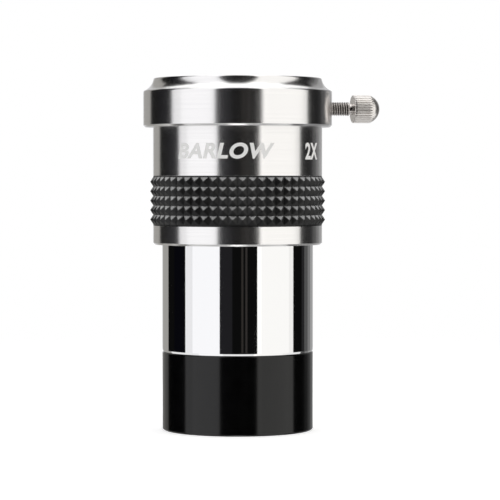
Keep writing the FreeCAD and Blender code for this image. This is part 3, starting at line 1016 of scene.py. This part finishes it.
def softbox(name, width, length, radiance, place):
    """Area light at a place measured from the studio's centre, turned towards that centre."""
    data = bpy.data.lights.new(name, "AREA")
    data.shape = "RECTANGLE"
    data.size = width
    data.size_y = length
    data.energy = radiance * math.pi * width * length
    lamp = bpy.data.objects.new(name, data)
    lamp.location = STUDIO_CENTRE + place
    lamp.rotation_euler = place.to_track_quat("Z", "Y").to_euler()
    lamp.visible_camera = False
    bpy.context.scene.collection.objects.link(lamp)
    return lamp


def ceiling_softbox():
    """Overhead softbox, level and set back so that it doesn't show in the front of the collar's cove."""
    lamp = softbox("softbox_ceiling", width=0.84, length=1.35, radiance=1.3, place=Vector((0, 0.555, 0.7)))
    lamp.rotation_euler = (0, 0, 0)


def grip_softboxes():
    """Arch of soft lights that picks out the tops of the grip's pyramids and nothing else."""
    only_grip = bpy.data.collections.new("lit_by_grip_softboxes")
    only_grip.objects.link(bpy.data.objects["rubber_grip_moulded"])
    for azimuth, elevation, radiance in GRIP_ARCH:
        place = toward(azimuth, elevation) * GRIP_ARCH_R
        lamp = softbox(f"softbox_grip_{azimuth}", width=0.5, length=0.4, radiance=radiance, place=place)
        lamp.light_linking.receiver_collection = only_grip


def build_lights():
    """Diffusers with dark gaps between them, which the polished metal mirrors, and softboxes above."""
    light_panel("panel_left_edge", (-86, -72), (LOW, HIGH), 0.9, COOL)
    light_panel("panel_left", (-72, -27), (LOW, HIGH), 1.06, COOL)
    light_panel("panel_right_bright", (29.5, 36), (LOW, HIGH), 1.18, WARM)
    light_panel("panel_right", (36, 84), (LOW, HIGH), 1.06, WARM)
    light_panel("panel_right_edge", (84, 93), (LOW, HIGH), 0.96, WARM)
    light_panel("panel_rim_left", (-180, -163), (LOW, BACK_HIGH), 0.65, COOL)
    light_panel("panel_back_left", (-163, -131), (LOW, BACK_HIGH), 0.36, CREAM)
    light_panel("panel_back_right_dim", (122, 134), (LOW, BACK_HIGH), 0.09)
    light_panel("panel_back_right_grey", (134, 146), (LOW, BACK_HIGH), 0.2)
    light_panel("panel_back_right", (146, 164), (LOW, BACK_HIGH), 0.36)
    light_panel("panel_rim_right", (164, 180), (LOW, BACK_HIGH), 0.6, COOL)
    light_panel("panel_low_centre", (-27, 29.5), (LOW, FRONT_LOW), 0.9)
    light_panel("panel_low_front", (-105, 105), (BELOW, LOW), 0.45)
    light_panel("panel_low_back", (105, 255), (BELOW, LOW), 0.7)
    light_panel("panel_below", (-180, 180), (-90, BELOW), 2.6)
    light_panel("panel_low_left", (-131, -86), (FRONT_LOW, SIDE_LOW), 0.9)
    light_panel("panel_low_right", (93, 122), (FRONT_LOW, SIDE_LOW), 0.9)
    light_panel("streak_navy", (-112, -88), (SIDE_LOW, STREAK_HIGH), 0.004, (0.6, 0.6, 1.0))
    light_panel("streak_centre_left", (-27, -8), (FRONT_LOW, STREAK_HIGH), 0.016, (0.9, 0.88, 1.0))
    light_panel("streak_warm_1", (5.5, 8.5), (FRONT_LOW, STREAK_HIGH), 0.03, (1.0, 0.9, 0.82))
    light_panel("streak_warm_2", (11.5, 14.5), (FRONT_LOW, STREAK_HIGH), 0.034, (1.0, 0.9, 0.85))
    light_panel("streak_right", (114, 122), (SIDE_LOW, STREAK_HIGH), 0.02, (0.95, 0.95, 1.0))
    ceiling_softbox()
    grip_softboxes()


def build_room():
    """White room around everything, seen directly and through glass, but neither mirrored nor lighting."""
    mesh = bmesh.new()
    bmesh.ops.create_uvsphere(mesh, u_segments=48, v_segments=24, radius=ROOM_R)
    room = mesh_object("backdrop", mesh, unlit_material("backdrop_white", NEUTRAL, 1.0))
    room.visible_diffuse = False
    room.visible_glossy = False
    room.visible_shadow = False


def pale_matt():
    """Pale matt finish that fades out from the middle."""
    material, tree, shader = new_material(
        "floor_pale", (FLOOR_GREY, FLOOR_GREY, FLOOR_GREY), Roughness=0.9, Specular_IOR_Level=0.0,
        Emission_Color=(1, 1, 1, 1), Emission_Strength=FLOOR_LIFT)
    place = node(tree, "ShaderNodeTexCoord")
    away = node(tree, "ShaderNodeVectorMath", operation="LENGTH")
    fade = node(tree, "ShaderNodeMapRange", interpolation_type="SMOOTHSTEP")
    fade.inputs["From Min"].default_value = FADE_START
    fade.inputs["From Max"].default_value = FADE_END
    fade.inputs["To Min"].default_value = 1
    fade.inputs["To Max"].default_value = 0
    tree.links.new(place.outputs["Object"], away.inputs[0])
    tree.links.new(away.outputs["Value"], fade.inputs["Value"])
    tree.links.new(fade.outputs["Result"], shader.inputs["Alpha"])
    return material


def build_floor():
    """Pale floor that runs out into the white room."""
    mesh = bmesh.new()
    bmesh.ops.create_circle(mesh, cap_ends=True, segments=96, radius=FLOOR_R)
    floor = mesh_object("floor", mesh, pale_matt())
    floor.location.z = cad_box[0].z - FLOOR_DROP
    floor.visible_glossy = False
    floor.visible_shadow = False


def build_world():
    world = bpy.data.worlds.new("studio")
    world.use_nodes = True
    grey = (WORLD_GREY, WORLD_GREY, WORLD_GREY, 1)
    world.node_tree.nodes["Background"].inputs["Color"].default_value = grey
    bpy.context.scene.world = world


def build_camera():
    data = bpy.data.cameras.new("camera")
    data.lens = FOCAL_MM
    data.sensor_width = SENSOR_MM
    data.clip_start = 0.01
    camera = bpy.data.objects.new("camera", data)
    camera.location = CAMERA_PLACE
    camera.rotation_euler = (CAMERA_TARGET - camera.location).to_track_quat("-Z", "Y").to_euler()
    bpy.context.scene.collection.objects.link(camera)
    bpy.context.scene.camera = camera


build_lights()
build_room()
build_floor()
build_world()
build_camera()
bpy.context.scene.view_settings.view_transform = "Standard"
